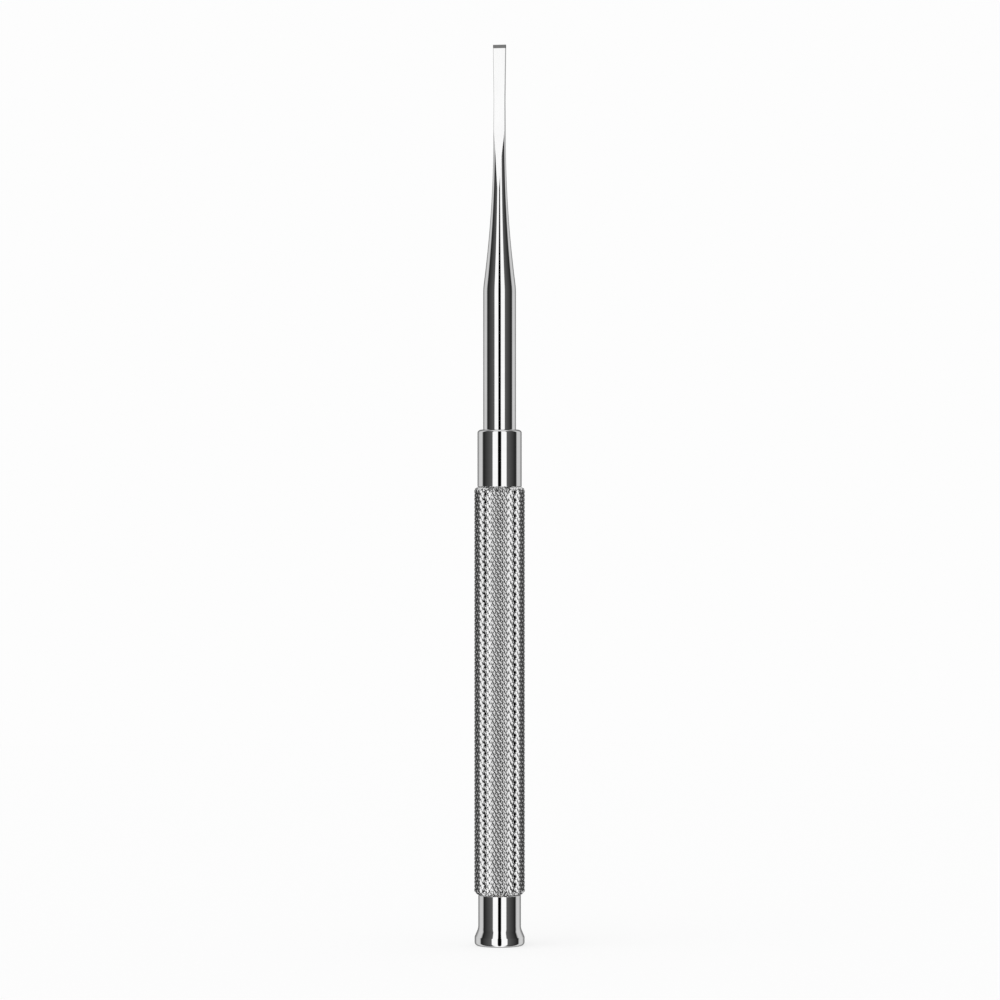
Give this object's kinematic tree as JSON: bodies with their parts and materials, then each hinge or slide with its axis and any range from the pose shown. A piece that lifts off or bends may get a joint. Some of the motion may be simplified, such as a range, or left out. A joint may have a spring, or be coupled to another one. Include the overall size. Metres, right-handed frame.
{
  "type": "watchmaker screwdriver",
  "caption": "Slim steel screwdriver with a flat blade held in a collet chuck, a diamond-knurled grip and a flared head that turns on a ball bearing.",
  "frame": {"origin": "centre of the swivel head's rest face, on the tool's axis", "axes": "+Z along the tool's axis from the head to the blade's tip; +X along the blade's width; +Y through the blade's thickness"},
  "size_m": [0.0062, 0.0062, 0.11],
  "materials": {
    "blade_steel": "polished taper and shank, satin ground flats",
    "polished_steel": "mirror polished",
    "knurled_steel": "fine diamond knurl, bright",
    "turned_steel": "as turned",
    "spring_steel": "tempered, fine ground",
    "dark_steel": "hardened, dark",
    "bearing_steel": "ground and lapped",
    "bronze": "machined"
  },
  "bodies": {
    "handle": {"knurled_grip": "knurled_steel", "chuck_body": "turned_steel", "collet_key": "dark_steel", "depth_stop": "dark_steel", "rear_plug": "turned_steel", "spacer_bush": "bronze", "shim_washer": "spring_steel", "pivot_screw": "dark_steel", "bearing_inner_ring": "bearing_steel"},
    "head": {"head_shell": "polished_steel", "head_cap": "polished_steel", "bearing_outer_ring": "bearing_steel", "upper_shield": "spring_steel", "lower_shield": "spring_steel", "retaining_ring": "dark_steel"},
    "ball_cage": {"bearing_cage": "bronze", "bearing_balls": "bearing_steel"},
    "collet": {"collet": "spring_steel"},
    "collar": {"chuck_collar": "polished_steel"},
    "blade": {"blade": "blade_steel"}
  },
  "joints": [
    {"name": "head_spin", "type": "hinge", "parent": "handle", "child": "head", "pos_m": [0, 0, 0.0036], "axis": [0, 0, 1], "continuous": true},
    {"name": "cage_spin", "type": "hinge", "parent": "handle", "child": "ball_cage", "pos_m": [0, 0, 0.0036], "axis": [0, 0, 1], "continuous": true},
    {"name": "collet_travel", "type": "slide", "parent": "handle", "child": "collet", "axis": [0, 0, 1], "range_m": [0, 0.001]},
    {"name": "collar_turn", "type": "hinge", "parent": "collet", "child": "collar", "pos_m": [0, 0, 0.0595], "axis": [0, 0, 1], "range_deg": [0, 720]},
    {"name": "blade_draw", "type": "slide", "parent": "collet", "child": "blade", "axis": [0, 0, 1], "range_m": [0, 0.017]}
  ],
  "couplings": [
    {"joint": "cage_spin", "follows": "head_spin", "ratio": 0.6431},
    {"joint": "collar_turn", "follows": "collet_travel", "rad_per_m": 12566}
  ]
}
